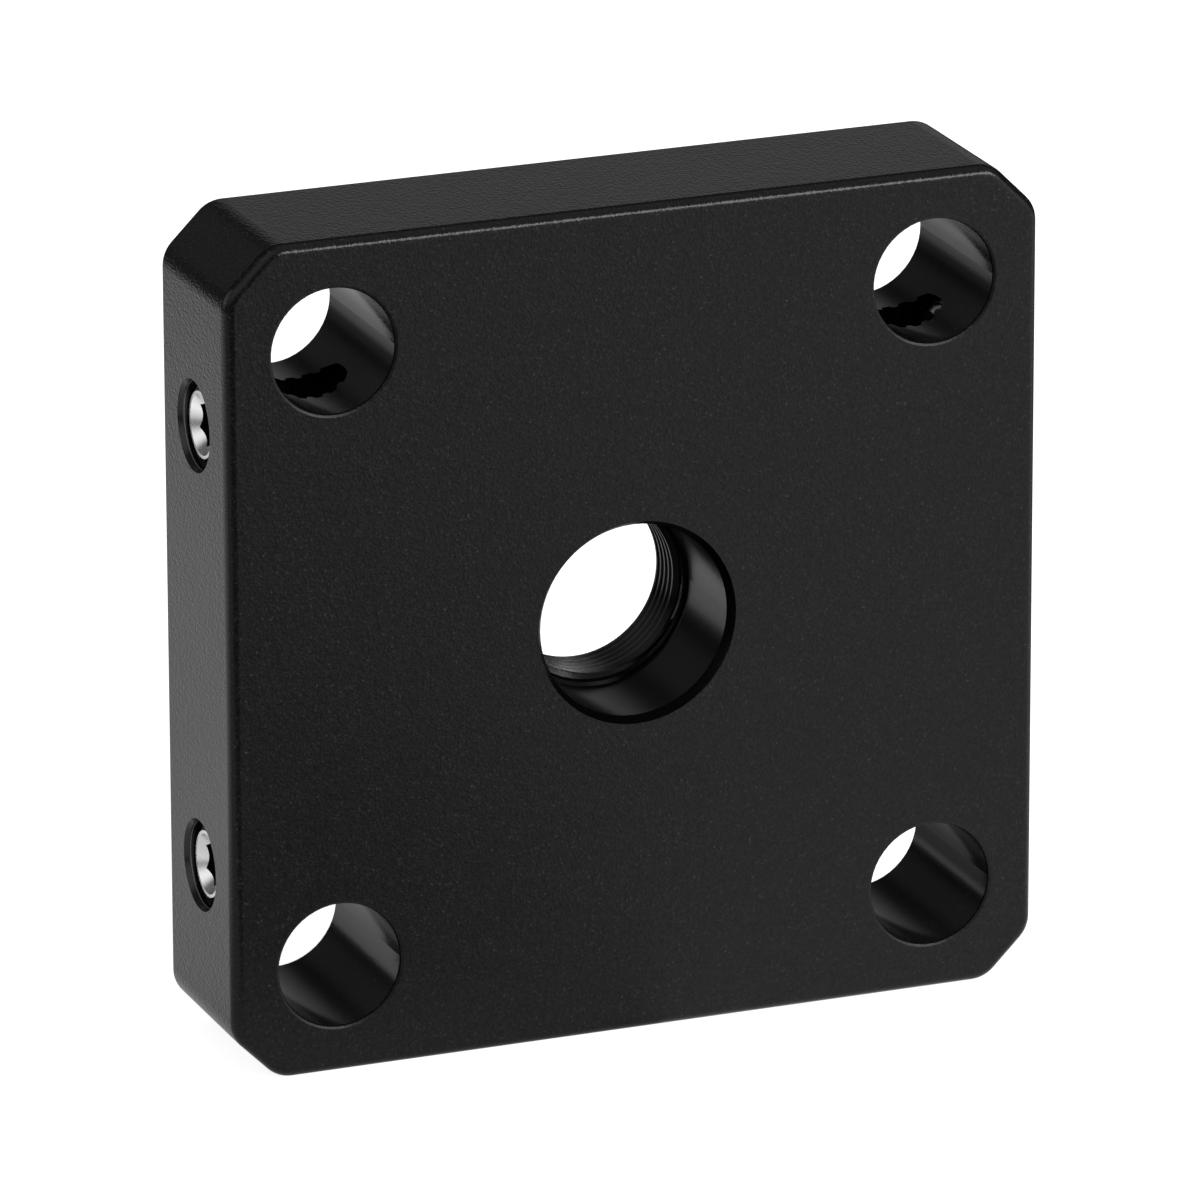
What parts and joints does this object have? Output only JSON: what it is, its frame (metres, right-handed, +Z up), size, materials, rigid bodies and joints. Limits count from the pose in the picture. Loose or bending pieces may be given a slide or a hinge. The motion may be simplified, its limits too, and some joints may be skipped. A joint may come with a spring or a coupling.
{
  "type": "optical cage plate",
  "caption": "Square black plate that slides on rods at its corners and holds a lens cell in a threaded centre bore; set screws in its sides clamp the rods.",
  "frame": {"origin": "on the optical axis, halfway through the plate's depth, at the centre of its box", "axes": "+X to the right seen from the front, +Y from the front face to the back one along the optical axis, +Z up"},
  "size_m": [0.0406, 0.0088, 0.0406],
  "materials": {
    "black_anodised_aluminium": "matte black anodised over a fine blast",
    "stainless_steel": "bright turned"
  },
  "bodies": {
    "plate": {"plate": "black_anodised_aluminium"},
    "set_screw_upper_left": {"set_screw_upper_left": "stainless_steel"},
    "set_screw_lower_left": {"set_screw_lower_left": "stainless_steel"},
    "set_screw_upper_right": {"set_screw_upper_right": "stainless_steel"},
    "set_screw_lower_right": {"set_screw_lower_right": "stainless_steel"}
  },
  "joints": [
    {"name": "upper_left_clamp", "type": "slide", "parent": "plate", "child": "set_screw_upper_left", "axis": [1, 0, 0], "range_m": [-0.00159, 0.00079]},
    {"name": "lower_left_clamp", "type": "slide", "parent": "plate", "child": "set_screw_lower_left", "axis": [1, 0, 0], "range_m": [-0.00159, 0.00079]},
    {"name": "upper_right_clamp", "type": "slide", "parent": "plate", "child": "set_screw_upper_right", "axis": [-1, 0, 0], "range_m": [-0.00159, 0.00079]},
    {"name": "lower_right_clamp", "type": "slide", "parent": "plate", "child": "set_screw_lower_right", "axis": [-1, 0, 0], "range_m": [-0.00159, 0.00079]}
  ]
}
